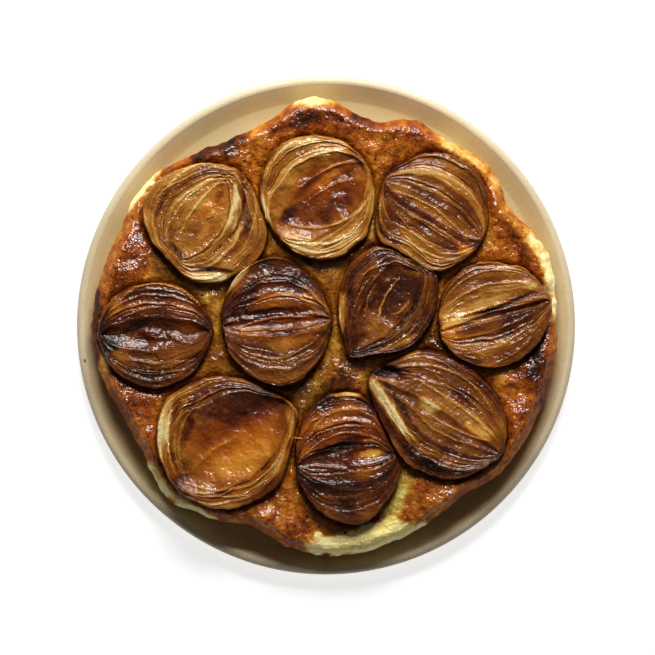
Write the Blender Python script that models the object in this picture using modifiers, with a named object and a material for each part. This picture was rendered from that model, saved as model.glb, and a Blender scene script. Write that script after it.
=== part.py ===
"""An onion tarte tatin turned out on its stoneware plate.

Ten caramelised onion halves lie cut face up, sunk in one round of puff pastry whose edge has
risen round them. Metres, +Z up. The origin is the middle of the plate's foot, on the table.
Bearings are degrees anticlockwise from +X.
"""

import math

import bmesh
import bpy
from mathutils import Matrix, Vector

MM = 0.001
GAP = 0.4 * MM  # air left between pieces that rest against each other

# The plate: a flat well, a low wall that curves up and a broad lip that slopes gently outwards.
PLATE_RADIUS = 135 * MM
PLATE_STEPS = 60
WELL_HEIGHT = 5.5 * MM
WELL_RADIUS = 121.5 * MM
WALL_RUN = 9.0 * MM
WALL_RISE = 4.6 * MM
WALL_CURVE = 1.15
# The lip from the wall's top to its outermost point, as (radius, height) in millimetres.
LIP_SECTION = ((131.4, 10.5), (132.5, 10.6), (133.6, 10.2), (134.5, 9.3), (135.0, 8.0))
FOOT_OUTER = 111 * MM
FOOT_INNER = 103 * MM
FOOT_RECESS = 1.5 * MM

# The pastry: its outer edge as (bearing, radius), joined by a smooth closed curve.
PASTRY_EDGE = (
    (5, 124.8),
    (20, 126.0),
    (32, 117.8),
    (43, 123.0),
    (58, 119.3),
    (68, 121.0),
    (77, 112.8),
    (84, 118.6),
    (94, 123.8),
    (105, 115.5),
    (113, 112.6),
    (127, 116.8),
    (143, 125.0),
    (156, 122.6),
    (172, 125.2),
    (184, 126.4),
    (198, 122.3),
    (211, 119.6),
    (221, 124.0),
    (228, 127.2),
    (238, 122.0),
    (252, 116.1),
    (262, 122.6),
    (276, 124.6),
    (290, 121.5),
    (300, 119.6),
    (309, 117.9),
    (320, 123.4),
    (338, 124.2),
    (351, 125.1),
)
# Where the edge stays low, as (bearing, half width in degrees, drop): lobes that flowed outwards.
LOW_LOBES = (
    (12, 14, 5.0 * MM),
    (47, 10, 3.5 * MM),
    (143, 11, 4.5 * MM),
    (229, 9, 9.0 * MM),
    (278, 19, 6.0 * MM),
)
PASTRY_SEGMENTS = 72
PASTRY_BASE = WELL_HEIGHT + GAP
FLOOR_HEIGHT = 24.0 * MM  # pastry between the halves
RIM_HEIGHT = 28.5 * MM  # crest of the risen edge
RIM_CREST = 0.92  # share of the edge's radius where the crest runs
RIM_START = 0.72  # share of the radius where the pastry starts to rise
PLATE_CLEARANCE = 1.2 * MM
# The risen side from its foot to the crest, as (share of the radius, share of the height).
SIDE_RINGS = ((0.955, 0.0), (0.99, 0.22), (1.0, 0.5), (0.99, 0.76), (0.962, 0.94))
TOP_RINGS = (RIM_CREST, 0.86, 0.8, 0.7, 0.58, 0.46, 0.34, 0.2)
PUFF_SWELLS = ((5, 0.4, 0.9 * MM), (8, 2.1, 0.8 * MM), (13, 1.2, 0.6 * MM))

# The onion halves. Each lies along an axis from its root to its tip; left and right are its
# half widths on either side of that axis, and a point of 0 is a round end, 1 a drawn-out one.
#  name, centre x and y, axis, half length, left, right, tip point, root point, top height
ONIONS = (
    ("onion_01", -65.5, 56.5, 57, 33.5, 34.0, 33.0, 0.40, 0.00, 34.0),
    ("onion_02", -4.0, 70.0, 35, 31.5, 33.5, 33.5, 0.05, 0.05, 34.8),
    ("onion_03", 57.0, 61.0, -31, 31.5, 32.0, 33.5, 0.15, 0.05, 33.8),
    ("onion_04", -92.0, -4.5, 2, 30.5, 29.5, 29.5, 0.10, 0.10, 33.4),
    ("onion_05", -26.5, 1.0, 4, 30.0, 36.0, 35.0, 0.20, 0.10, 35.0),
    ("onion_06", 32.0, 12.5, 237, 33.0, 26.5, 27.0, 0.45, 0.05, 34.4),
    ("onion_07", 90.0, 6.0, 16, 32.0, 28.5, 29.0, 0.20, 0.00, 33.6),
    ("onion_08", -53.5, -62.5, 37, 37.0, 36.5, 36.5, 0.10, 0.05, 34.4),
    ("onion_09", 11.5, -71.5, 8, 29.0, 36.0, 35.5, 0.10, 0.10, 34.6),
    ("onion_10", 60.5, -48.0, -31, 39.5, 30.5, 34.0, 0.15, 0.20, 34.0),
)
ONION_SEGMENTS = 24
FACE_RINGS = 7  # cut edges of the scales, from the heart outwards
UNDER_RINGS = 3
ONION_DEPTH = 21.5 * MM
ONION_BELLY = 0.62  # how full the rounded underside is: 1 is an ellipsoid, less is fuller
SCALE_RELIEF = 1.6 * MM  # how far every other scale has sunk
FACE_SAG = 2.6 * MM  # how much lower the outermost scale lies than the heart
HEART_LENGTH = 0.55  # share of the length that the innermost scale keeps
PRESS_SOFTNESS = 1.2 * MM
POCKET_GROWTH = 0.9 * MM  # how much larger a half's pocket is, all round
POCKET_RIM_RINGS = 2
POCKET_HEADROOM = 3.0 * MM  # how far a pocket's cutter stands above the half


def smooth_step(value):
    """0 below 0, 1 above 1, and a smooth rise between."""
    value = min(max(value, 0.0), 1.0)
    return value * value * (3 - 2 * value)


def closed_curve(points, bearing):
    """The radius at a bearing on the Catmull-Rom curve through (bearing, radius) points."""
    count = len(points)
    bearing %= 360
    for index in range(count):
        start, end = points[index], points[(index + 1) % count]
        span = (end[0] - start[0]) % 360
        along = (bearing - start[0]) % 360
        if along < span:
            break
    before, after = points[index - 1], points[(index + 2) % count]
    slope_in = (end[1] - before[1]) / ((end[0] - before[0]) % 360) * span
    slope_out = (after[1] - start[1]) / ((after[0] - start[0]) % 360) * span
    t = along / span
    return (
        (2 * t**3 - 3 * t**2 + 1) * start[1]
        + (t**3 - 2 * t**2 + t) * slope_in
        + (3 * t**2 - 2 * t**3) * end[1]
        + (t**3 - t**2) * slope_out
    )


def make_material(name, colour, roughness):
    material = bpy.data.materials.new(name)
    material.use_nodes = True
    shader = material.node_tree.nodes["Principled BSDF"]
    shader.inputs["Base Color"].default_value = (*colour, 1)
    shader.inputs["Roughness"].default_value = roughness
    shader.inputs["Metallic"].default_value = 0
    return material


def add_object(name, mesh, material, collection):
    body = bpy.data.objects.new(name, mesh)
    collection.objects.link(body)
    if material:
        mesh.materials.append(material)
    return body


def wall_point(t):
    """(radius, height) on the plate's inner wall, from the well at 0 to the lip at 1."""
    return WELL_RADIUS + WALL_RUN * t, WELL_HEIGHT + WALL_RISE * t**WALL_CURVE


def wall_radius(height):
    """How far out the plate's inner wall is at a height."""
    rise = max(height - WELL_HEIGHT, 0.0) / WALL_RISE
    return WELL_RADIUS + WALL_RUN * rise ** (1 / WALL_CURVE)


def plate_profile():
    """The plate's section from the middle of the well, over the lip and under to the middle."""
    points = [(0.0, WELL_HEIGHT)]
    points += [wall_point(step / 5) for step in range(6)]
    points += [(radius * MM, height * MM) for radius, height in LIP_SECTION]
    edge_height = points[-1][1]
    for step in range(1, 7):
        angle = math.pi / 2 * step / 6
        points.append(
            (
                FOOT_OUTER + (PLATE_RADIUS - FOOT_OUTER) * max(math.cos(angle), 0.0) ** 1.3,
                edge_height * (1 - math.sin(angle)),
            )
        )
    points += [(FOOT_INNER, 0.0), (FOOT_INNER - FOOT_RECESS, FOOT_RECESS), (0.0, FOOT_RECESS)]
    return points


def make_plate(material, collection):
    mesh = bpy.data.meshes.new("plate")
    shape = bmesh.new()
    corners = [shape.verts.new((radius, 0, height)) for radius, height in plate_profile()]
    for first, second in zip(corners, corners[1:]):
        shape.edges.new((first, second))
    shape.to_mesh(mesh)
    shape.free()
    plate = add_object("plate", mesh, material, collection)
    turn = plate.modifiers.new("turn", "SCREW")
    turn.steps = turn.render_steps = PLATE_STEPS
    turn.use_merge_vertices = True
    turn.merge_threshold = 0.05 * MM
    turn.use_smooth_shade = True
    return plate


def shaped_sphere(name, segments, rings, place):
    """A UV sphere whose points go to place(ring, azimuth): ring 0 is the top, the last the bottom."""
    mesh = bpy.data.meshes.new(name)
    shape = bmesh.new()
    bmesh.ops.create_uvsphere(shape, u_segments=segments, v_segments=rings, radius=1)
    for corner in shape.verts:
        ring = round(math.acos(max(-1, min(1, corner.co.z))) / math.pi * rings)
        azimuth = math.atan2(corner.co.y, corner.co.x)
        corner.co = place(ring, azimuth)
    shape.to_mesh(mesh)
    shape.free()
    mesh.shade_smooth()
    return mesh


def pastry_crest(azimuth):
    """The height of the risen edge at an azimuth, with its swells and low lobes."""
    height = RIM_HEIGHT
    for waves, phase, swell in PUFF_SWELLS:
        height += swell * math.sin(waves * azimuth + phase)
    for bearing, half_width, drop in LOW_LOBES:
        away = abs((math.degrees(azimuth) - bearing + 180) % 360 - 180)
        height -= drop * smooth_step(1.5 - away / half_width)
    return height


def place_pastry(ring, azimuth):
    """Where a point of the pastry goes: down its top, over the crest and under."""
    edge = closed_curve(PASTRY_EDGE, math.degrees(azimuth)) * MM
    crest = pastry_crest(azimuth)
    top_count = len(TOP_RINGS)
    if ring <= top_count:
        share = 0.0 if ring == 0 else TOP_RINGS[top_count - ring]
        rise = smooth_step((share - RIM_START) / (RIM_CREST - RIM_START))
        height = FLOOR_HEIGHT + (crest - FLOOR_HEIGHT) * rise
        radius = edge * share
    elif ring <= top_count + len(SIDE_RINGS):
        share, lift = SIDE_RINGS[len(SIDE_RINGS) - (ring - top_count)]
        height = PASTRY_BASE + (crest - PASTRY_BASE) * lift
        radius = min(edge * share, wall_radius(height) - PLATE_CLEARANCE)
    else:
        radius = 0.0
        height = PASTRY_BASE
    return Vector((radius * math.cos(azimuth), radius * math.sin(azimuth), height))


def outline_point(onion, share, azimuth):
    """A point, seen from above, on the cut edge of the scale at a share of the half's size."""
    _, middle_x, middle_y, axis, length, left, right, tip, root, _ = onion
    width = left if math.sin(azimuth) > 0 else right
    taper = abs(math.sin(azimuth / 2)) ** tip * abs(math.cos(azimuth / 2)) ** root
    spread = share * (2 ** ((tip + root) / 2))
    reach = share if share == 0 else HEART_LENGTH + (1 - HEART_LENGTH) * share
    along = length * MM * reach * math.cos(azimuth)
    across = width * MM * spread * math.sin(azimuth) * taper
    turn = Matrix.Rotation(math.radians(axis), 2)
    return turn @ Vector((along, across)) + Vector((middle_x, middle_y)) * MM


def contact_lines():
    """For each onion its (middle, direction) lines, where it is pressed against a neighbour."""
    outlines = {
        onion[0]: [outline_point(onion, 1, math.tau * step / 90) for step in range(90)]
        for onion in ONIONS
    }
    lines = {onion[0]: [] for onion in ONIONS}
    for index, first in enumerate(ONIONS):
        for second in ONIONS[index + 1 :]:
            start = Vector(first[1:3]) * MM
            end = Vector(second[1:3]) * MM
            towards = (end - start).normalized()
            reach_first = max((point - start).dot(towards) for point in outlines[first[0]])
            reach_second = max((end - point).dot(towards) for point in outlines[second[0]])
            overlap = reach_first + reach_second - (end - start).length
            if overlap < -2 * GAP:
                continue
            middle = start + towards * (reach_first - overlap / 2)
            lines[first[0]].append((middle, towards))
            lines[second[0]].append((middle, -towards))
    return lines


def press(point, lines, gap):
    """Moves a point back where it would pass a contact line, which flattens that side softly."""
    for middle, towards in lines:
        past = (point - middle).dot(towards) + gap
        if past > -8 * PRESS_SOFTNESS:
            kept = -PRESS_SOFTNESS * math.log1p(math.exp(-past / PRESS_SOFTNESS))
            point = point + towards * (kept - past)
    return point


def onion_placer(onion, lines):
    """How a sphere becomes an onion half, with the cut edges of its scales as rings."""
    top = onion[9] * MM
    rim = top - FACE_SAG - SCALE_RELIEF
    under = rim - (top - ONION_DEPTH)

    def place(ring, azimuth):
        if ring <= FACE_RINGS:
            share = ring / FACE_RINGS
            height = top - FACE_SAG * share**2 - SCALE_RELIEF * (ring % 2)
        else:
            share, drop = under_share(ring - FACE_RINGS, UNDER_RINGS)
            height = rim - under * drop
        point = press(outline_point(onion, share, azimuth), lines, 0.75 * GAP)
        return Vector((point.x, point.y, height))

    return place


def pocket_placer(onion, lines):
    """How a sphere becomes the pocket of an onion half: larger all round, and open at the top."""
    top = onion[9] * MM
    rim = top - FACE_SAG - SCALE_RELIEF
    under = rim - (top - ONION_DEPTH) + POCKET_GROWTH
    middle = Vector(onion[1:3]) * MM

    def place(ring, azimuth):
        if ring < POCKET_RIM_RINGS:
            share = min(ring, 1)
            height = top + POCKET_HEADROOM
        elif ring == POCKET_RIM_RINGS:
            share = 1
            height = rim
        else:
            share, drop = under_share(ring - POCKET_RIM_RINGS, UNDER_RINGS)
            height = rim - under * drop
        point = outline_point(onion, share, azimuth)
        if share:
            point += (point - middle).normalized() * POCKET_GROWTH
        point = press(point, lines, 0.75 * GAP - POCKET_GROWTH)
        return Vector((point.x, point.y, height))

    return place


def under_share(ring, rings):
    """(share of the width, share of the depth) on the rounded underside, ring 0 being its edge."""
    if ring == rings:
        return 0.0, 1.0
    angle = ring / rings * math.pi / 2
    return math.cos(angle) ** ONION_BELLY, math.sin(angle)


def make_onion(onion, lines, material, collection):
    rings = FACE_RINGS + UNDER_RINGS
    mesh = shaped_sphere(onion[0], ONION_SEGMENTS, rings, onion_placer(onion, lines))
    return add_object(onion[0], mesh, material, collection)


def make_pocket(onion, lines, collection):
    """The space that a half needs in the pastry, as a cutter."""
    name = "pocket_" + onion[0]
    rings = POCKET_RIM_RINGS + UNDER_RINGS
    mesh = shaped_sphere(name, ONION_SEGMENTS, rings, pocket_placer(onion, lines))
    pocket = add_object(name, mesh, None, collection)
    pocket.hide_render = True
    pocket.display_type = "WIRE"
    return pocket


def make_pastry(material, collection, pockets):
    rings = len(TOP_RINGS) + len(SIDE_RINGS) + 1
    mesh = shaped_sphere("pastry", PASTRY_SEGMENTS, rings, place_pastry)
    pastry = add_object("pastry", mesh, material, collection)
    cut = pastry.modifiers.new("pockets", "BOOLEAN")
    cut.operation = "DIFFERENCE"
    cut.operand_type = "COLLECTION"
    cut.collection = pockets
    cut.solver = "EXACT"
    return pastry


def new_collection(name):
    collection = bpy.data.collections.new(name)
    bpy.context.scene.collection.children.link(collection)
    return collection


def main():
    for old in list(bpy.data.objects):
        bpy.data.objects.remove(old)
    tart = new_collection("onion_tarte_tatin")
    pockets = new_collection("pockets")
    stoneware = make_material("stoneware", (0.72, 0.62, 0.45), 0.55)
    crust = make_material("caramelised_pastry", (0.30, 0.09, 0.018), 0.3)
    flesh = make_material("caramelised_onion", (0.24, 0.10, 0.028), 0.25)
    lines = contact_lines()
    make_plate(stoneware, tart)
    for onion in ONIONS:
        make_onion(onion, lines[onion[0]], flesh, tart)
        make_pocket(onion, lines[onion[0]], pockets)
    make_pastry(crust, tart, pockets)


main()
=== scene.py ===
# %% [markdown]
# # An onion tarte tatin on its plate
# The tart is baked upside down: onion halves brown in butter and sugar on the pan's floor, a round
# of puff pastry is tucked over them, and the whole is turned out on a plate. So the cut faces of
# the onions, which lay in the caramel, end up on top. This lesson builds it around a measured
# frame, which holds every size and place. All lengths are in metres, with +Z up.

import math

import bpy
import numpy as np
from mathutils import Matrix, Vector


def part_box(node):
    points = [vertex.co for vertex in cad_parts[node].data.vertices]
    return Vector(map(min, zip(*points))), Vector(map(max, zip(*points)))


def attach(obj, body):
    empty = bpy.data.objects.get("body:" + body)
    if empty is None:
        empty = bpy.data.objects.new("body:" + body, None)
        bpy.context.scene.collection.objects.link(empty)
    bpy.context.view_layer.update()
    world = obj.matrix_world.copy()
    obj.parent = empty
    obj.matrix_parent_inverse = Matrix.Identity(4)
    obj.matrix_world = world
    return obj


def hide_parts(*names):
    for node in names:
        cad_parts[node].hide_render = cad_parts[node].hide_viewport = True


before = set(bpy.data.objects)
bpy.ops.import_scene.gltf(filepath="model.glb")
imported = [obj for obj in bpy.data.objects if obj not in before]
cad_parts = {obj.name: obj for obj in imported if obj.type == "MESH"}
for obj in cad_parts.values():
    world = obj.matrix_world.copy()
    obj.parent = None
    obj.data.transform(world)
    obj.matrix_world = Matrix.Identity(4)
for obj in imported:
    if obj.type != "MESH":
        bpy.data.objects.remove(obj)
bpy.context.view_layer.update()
MM = 0.001
scene = bpy.context.scene
print("frame nodes:", sorted(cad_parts))

# %% [markdown]
# ## Small helpers
# Colours are written as on a paint chart, in sRGB hex, and turned to linear here. One function
# adds a shader node with its settings and links, so a material, or the room's light, reads as a
# short recipe.

# %% Helpers for colours and nodes
def linear(code):
    """A linear colour, with alpha 1, from an sRGB hex code."""
    channels = [int(code[i : i + 2], 16) / 255 for i in (1, 3, 5)]
    rgb = [c / 12.92 if c <= 0.04045 else ((c + 0.055) / 1.055) ** 2.4 for c in channels]
    return (*rgb, 1)


def new_material(name):
    """A material with an empty node tree."""
    material = bpy.data.materials.new(name)
    material.use_nodes = True
    material.node_tree.nodes.clear()
    return material


def node(material, kind, settings=None, **inputs):
    """Adds a shader node. Inputs are sockets by name: a value, or another node's output."""
    made = material.node_tree.nodes.new("ShaderNode" + kind)
    for key, value in (settings or {}).items():
        setattr(made, key, value)
    for key, value in inputs.items():
        socket = made.inputs[int(key[1:])] if key[0] == "_" else made.inputs[key.replace("_", " ")]
        if isinstance(value, bpy.types.NodeSocket):
            material.node_tree.links.new(value, socket)
        else:
            socket.default_value = value
    return made


def ramp(material, value, stops):
    """A colour ramp node through (position, sRGB hex) stops."""
    made = node(material, "ValToRGB", _0=value)
    elements = made.color_ramp.elements
    while len(elements) < len(stops):
        elements.new(0.5)
    for element, (position, code) in zip(elements, stops):
        element.position = position
        element.color = linear(code)
    return made.outputs["Color"]


def painted(material, name):
    """The numbers that paint() left on a mesh under a name."""
    return node(material, "Attribute", {"attribute_name": name}).outputs["Fac"]


def calculate(material, operation, *values):
    """The result of one sum, such as ADD or MULTIPLY_ADD."""
    inputs = {f"_{index}": value for index, value in enumerate(values)}
    return node(material, "Math", {"operation": operation}, **inputs).outputs[0]


def mix(material, share, first, second, blend="MIX"):
    """The first colour with a share of the second mixed in."""
    settings = {"data_type": "RGBA", "blend_type": blend}
    return node(material, "Mix", settings, _0=share, _6=first, _7=second).outputs[2]


def texture(material, place, scale, detail):
    """Fine noise from 0 to 1; scale is in features per metre, roughly."""
    return node(material, "TexNoise", Vector=place, Scale=scale, Detail=detail).outputs["Fac"]


def bumpy(material, height, strength, distance):
    """A normal tilted by a height, as fine relief does."""
    made = node(material, "Bump", Strength=strength, Distance=distance, Height=height)
    return made.outputs["Normal"]


def lying_flat(material, low=0.25, high=0.7):
    """1 where a surface faces up and syrup can lie on it, falling to 0 on its steep sides."""
    facing = node(material, "NewGeometry").outputs["Normal"]
    upward = node(material, "SeparateXYZ", _0=facing).outputs["Z"]
    return node(material, "MapRange", Value=upward, From_Min=low, From_Max=high).outputs[0]


def finish_material(material, **settings):
    """Ends a material with one Principled shader."""
    shader = node(material, "BsdfPrincipled", **settings)
    node(material, "OutputMaterial", Surface=shader.outputs["BSDF"])


# %% [markdown]
# ## The camera
# The tart is seen from straight above. A long lens far away keeps the plate's wall the same width
# all round, as in a careful table-top shot, and its distance follows from how much must be seen.

# %% Camera
VIEW_WIDTH = 354.6 * MM
VIEW_MIDDLE = (0.8 * MM, -1.1 * MM)
LENS_MM = 250.0
SENSOR_MM = 36.0
_, plate_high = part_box("plate")
camera_data = bpy.data.cameras.new("camera")
camera_data.lens = LENS_MM
camera_data.sensor_width = SENSOR_MM
camera = bpy.data.objects.new("camera", camera_data)
scene.collection.objects.link(camera)
camera_height = plate_high.z + VIEW_WIDTH * LENS_MM / SENSOR_MM
camera.location = (*VIEW_MIDDLE, camera_height)
scene.camera = camera
print(f"camera {camera_height:.3f} m up")

# %% [markdown]
# ## Light
# One soft window stands behind the tart and well above it, so each ridge of onion catches it and
# the tart throws its shadow towards the viewer. A smaller, cooler one far behind fills in. The room
# is pale only behind the tart, so the wet surfaces that face up stay deep instead of milky.

# %% Window and room
def aim(thing, target):
    """Turns a light or camera to face a point."""
    thing.rotation_euler = (Vector(target) - thing.location).to_track_quat("-Z", "Y").to_euler()


def window_light(name, place, size, power, colour):
    """A rectangular light of a size in metres and a power in watts, facing the tart."""
    data = bpy.data.lights.new(name, "AREA")
    data.shape = "RECTANGLE"
    data.size, data.size_y = size
    data.energy = power
    data.color = colour
    light = bpy.data.objects.new(name, data)
    scene.collection.objects.link(light)
    light.location = place
    aim(light, (0, 0, 0.02))


window_light("window", (0.06, 1.03, 1.00), (0.68, 0.36), 27.5, (1.0, 0.975, 0.94))
window_light("far_window", (0.20, 1.30, 0.60), (0.30, 0.30), 3.6, (0.97, 0.98, 1.0))

# The room's brightness follows from how far a direction is from straight behind the tart.
world = bpy.data.worlds.new("room")
world.use_nodes = True
direction = node(world, "TexCoord").outputs["Generated"]
towards = node(world, "VectorMath", {"operation": "DOT_PRODUCT"}, _0=direction, _1=(-0.15, 0.98, 0.10))
brightness = node(
    world,
    "MapRange",
    {"interpolation_type": "SMOOTHSTEP"},
    Value=towards.outputs["Value"],
    From_Min=0.55,
    From_Max=1.0,
    To_Min=0.07,
    To_Max=0.35,
)
background = world.node_tree.nodes["Background"]
background.inputs["Color"].default_value = (1.0, 0.985, 0.96, 1)
world.node_tree.links.new(brightness.outputs["Result"], background.inputs["Strength"])
scene.world = world
scene.view_settings.view_transform = "Standard"
scene.view_settings.look = "None"


# %% [markdown]
# Food has no straight line in it. Every wrinkle below comes from one kind of smooth, repeatable
# noise: random heights at the corners of a grid, blended in between.

# %% Repeatable noise
def corner_value(x, y, z, seed):
    """A repeatable number from -1 to 1 for each whole grid corner."""
    mixed = (x * 73856093) ^ (y * 19349663) ^ (z * 83492791) ^ (seed * 2654435761)
    mixed = (mixed ^ (mixed >> 13)) * 1274126177 & 0xFFFFFFFF
    mixed = (mixed ^ (mixed >> 16)) & 0xFFFF
    return mixed / 32767.5 - 1


def noise(x, y, z, seed):
    """Smooth noise from -1 to 1 at points given in grid steps."""
    x, y, z = np.broadcast_arrays(x, y, z)
    cell = [np.floor(a).astype(np.int64) for a in (x, y, z)]
    inside = [a - c for a, c in zip((x, y, z), cell)]
    blend = [f * f * f * (f * (f * 6 - 15) + 10) for f in inside]
    total = 0.0
    for dx in (0, 1):
        for dy in (0, 1):
            for dz in (0, 1):
                weight = (
                    (blend[0] if dx else 1 - blend[0])
                    * (blend[1] if dy else 1 - blend[1])
                    * (blend[2] if dz else 1 - blend[2])
                )
                corner = corner_value(cell[0] + dx, cell[1] + dy, cell[2] + dz, seed)
                total = total + weight * corner
    return total


def cloud(x, y, z, seed, octaves=3):
    """Noise with finer noise laid over it, each octave half as strong and twice as fine."""
    total = 0.0
    for octave in range(octaves):
        fine = 2.03**octave
        total = total + noise(x * fine, y * fine, z * fine, seed + octave) / 2**octave
    return total


def round_noise(azimuth, steps, seed, height=0.0):
    """Noise along a ring, which meets itself; more steps make it finer."""
    return noise(np.cos(azimuth) * steps, np.sin(azimuth) * steps, height, seed)


def smooth_step(value, low=0.0, high=1.0):
    """0 below low and 1 above high, with a smooth rise in between."""
    value = np.clip((value - low) / (high - low), 0, 1)
    return value * value * (3 - 2 * value)


def patch_distance(x, y, middle_x, middle_y, long, wide, angle):
    """How far points are from a long patch's middle: 0 there, and 1 at its half length or width."""
    turn = math.radians(angle)
    u = ((x - middle_x) * math.cos(turn) + (y - middle_y) * math.sin(turn)) / long
    v = (-(x - middle_x) * math.sin(turn) + (y - middle_y) * math.cos(turn)) / wide
    return np.hypot(u, v)


print("noise sample", np.round(noise(np.array([0.3, 1.8]), 0.7, 0.1, 5), 4))

# %% [markdown]
# Shaping helpers: a primitive's points are read as one array, moved all at once and written back.

# %% Read and write mesh points
def read_points(thing):
    """A mesh's points, one row each."""
    flat = np.empty(len(thing.data.vertices) * 3)
    thing.data.vertices.foreach_get("co", flat)
    return flat.reshape(-1, 3)


def write_points(thing, points):
    thing.data.vertices.foreach_set("co", points.astype(np.float32).ravel())
    thing.data.update()


def paint(thing, name, values):
    """Keeps one number per point on the mesh, for the material to read."""
    layer = thing.data.attributes.new(name, "FLOAT", "POINT")
    layer.data.foreach_set("value", np.asarray(values, np.float32))


def fresh_sphere(name, segments, rings):
    """A UV sphere with its seam and poles closed, and its (share from top, azimuth) per point."""
    bpy.ops.object.select_all(action="DESELECT")
    bpy.ops.mesh.primitive_uv_sphere_add(segments=segments, ring_count=rings, radius=1)
    thing = bpy.context.object
    thing.name = thing.data.name = name
    points = read_points(thing)
    share = np.arccos(np.clip(points[:, 2], -1, 1)) / math.pi
    azimuth = np.arctan2(points[:, 1], points[:, 0])
    return thing, share, azimuth


# %% [markdown]
# ## The plate
# A low plate of beige stoneware: a flat well, a wall that lifts only a few millimetres and a
# broad lip that falls gently outwards. It is turned from one disc: its edge is extruded, widened
# and lifted again and again along the wall, over the lip and down the outside to the foot.

# %% Plate
PLATE_SEGMENTS = 192
WELL_HEIGHT = 5.5 * MM
WELL_RADIUS = 121.5 * MM
WALL_RUN = 9.0 * MM
WALL_RISE = 4.6 * MM
WALL_CURVE = 1.15
# The lip as (radius, height) in millimetres, from the wall's top to its outermost point.
LIP_SECTION = (
    (130.7, 10.25), (131.0, 10.42), (131.5, 10.52), (132.1, 10.58), (132.8, 10.52),
    (133.5, 10.28), (134.1, 9.85), (134.6, 9.25), (134.9, 8.6), (135.0, 8.0),
)
FOOT_RADIUS = 111 * MM
BELLY_CURVE = 1.3
# The foot ring and the hollow under the plate as (radius, height) in millimetres.
FOOT_SECTION = ((103, 0), (102, 0.4), (101.5, 1.5), (50, 1.5))


def plate_section():
    """(radius, height) from the well's edge over the lip and down to the foot ring."""
    section = [(WELL_RADIUS * share, WELL_HEIGHT) for share in (0.5, 0.8, 0.95)]
    for t in np.linspace(0, 1, 14):
        section.append((WELL_RADIUS + WALL_RUN * t, WELL_HEIGHT + WALL_RISE * t**WALL_CURVE))
    section += [(radius * MM, height * MM) for radius, height in LIP_SECTION]
    edge_radius, edge_height = section[-1]
    for angle in np.linspace(0, math.pi / 2, 13)[1:]:
        radius = FOOT_RADIUS + (edge_radius - FOOT_RADIUS) * max(math.cos(angle), 0) ** BELLY_CURVE
        section.append((radius, edge_height * (1 - math.sin(angle))))
    section += [(radius * MM, height * MM) for radius, height in FOOT_SECTION]
    return section


section = plate_section()
bpy.ops.object.select_all(action="DESELECT")
bpy.ops.mesh.primitive_circle_add(
    vertices=PLATE_SEGMENTS, radius=section[0][0], fill_type="NGON", location=(0, 0, WELL_HEIGHT)
)
plate = bpy.context.object
plate.name = plate.data.name = "stoneware_plate"
bpy.ops.object.transform_apply(location=True)
bpy.ops.object.mode_set(mode="EDIT")
bpy.ops.mesh.select_mode(type="EDGE")
bpy.ops.mesh.select_all(action="SELECT")
for before, after in zip(section, section[1:]):
    bpy.ops.mesh.extrude_edges_move(
        TRANSFORM_OT_translate={"value": (0, 0, after[1] - before[1])}
    )
    widen = after[0] / before[0]
    bpy.ops.transform.resize(value=(widen, widen, 1), center_override=(0, 0, 0))
bpy.ops.mesh.edge_face_add()
bpy.ops.mesh.select_all(action="SELECT")
bpy.ops.mesh.normals_make_consistent(inside=False)
bpy.ops.object.mode_set(mode="OBJECT")
bpy.ops.object.shade_smooth()
print("plate", len(plate.data.polygons), "faces")

# %% [markdown]
# The glaze is a matte, slightly speckled beige, a little darker and yellower inside the lip. Real
# stoneware glaze has roughness near 0.5 and ceramic's IOR of 1.5. Broad, faint clouding keeps it
# from looking like plastic.

# %% Stoneware glaze
glaze = new_material("matte_stoneware_glaze")
place = node(glaze, "TexCoord").outputs["Object"]
specks = texture(glaze, place, 900.0, 2.0)
base = ramp(glaze, texture(glaze, place, 45.0, 4.0), ((0.3, "#c8b898"), (0.7, "#d1c2a4")))
grain = ramp(glaze, specks, ((0.32, "#cdbb96"), (0.45, "#ffffff")))
colour = mix(glaze, 0.25, base, grain, "MULTIPLY")
outward = node(glaze, "VectorMath", {"operation": "LENGTH"}, _0=place).outputs["Value"]
inside = node(glaze, "MapRange", Value=outward, From_Min=0.133, From_Max=0.127).outputs[0]
finish_material(
    glaze,
    Base_Color=mix(glaze, inside, colour, linear("#f0e6c8"), "MULTIPLY"),
    Roughness=0.48,
    IOR=1.5,
    Normal=bumpy(glaze, specks, 0.12, 0.0003),
)
plate.data.materials.append(glaze)
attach(plate, "root")
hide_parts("plate")

# %% [markdown]
# ## Where each onion half ends
# The frame's solids already say how far each half reaches in every direction, pressed flat where
# it meets its neighbours. The rim of the cut face is read from them once, as a radius for each
# bearing round the half's middle.

# %% Outlines of the halves
FACE_SAG = 2.6 * MM
RELIEF = 1.6 * MM
ONION_NAMES = [f"onion_{number:02d}" for number in range(1, 11)]


def smooth_round(values, angles, wanted):
    """A closed smooth curve through values at sorted angles, read at the wanted angles."""
    spread = np.concatenate([angles - math.tau, angles, angles + math.tau])
    many = np.concatenate([values, values, values])
    index = np.searchsorted(spread, wanted) - 1
    p0, p1, p2, p3 = (many[index + k] for k in (-1, 0, 1, 2))
    t0, t1, t2, t3 = (spread[index + k] for k in (-1, 0, 1, 2))
    t = (wanted - t1) / (t2 - t1)
    slope1 = (p2 - p0) / (t2 - t0) * (t2 - t1)
    slope2 = (p3 - p1) / (t3 - t1) * (t2 - t1)
    return (
        (2 * t**3 - 3 * t**2 + 1) * p1
        + (t**3 - 2 * t**2 + t) * slope1
        + (3 * t**2 - 2 * t**3) * p2
        + (t**3 - t**2) * slope2
    )


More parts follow.
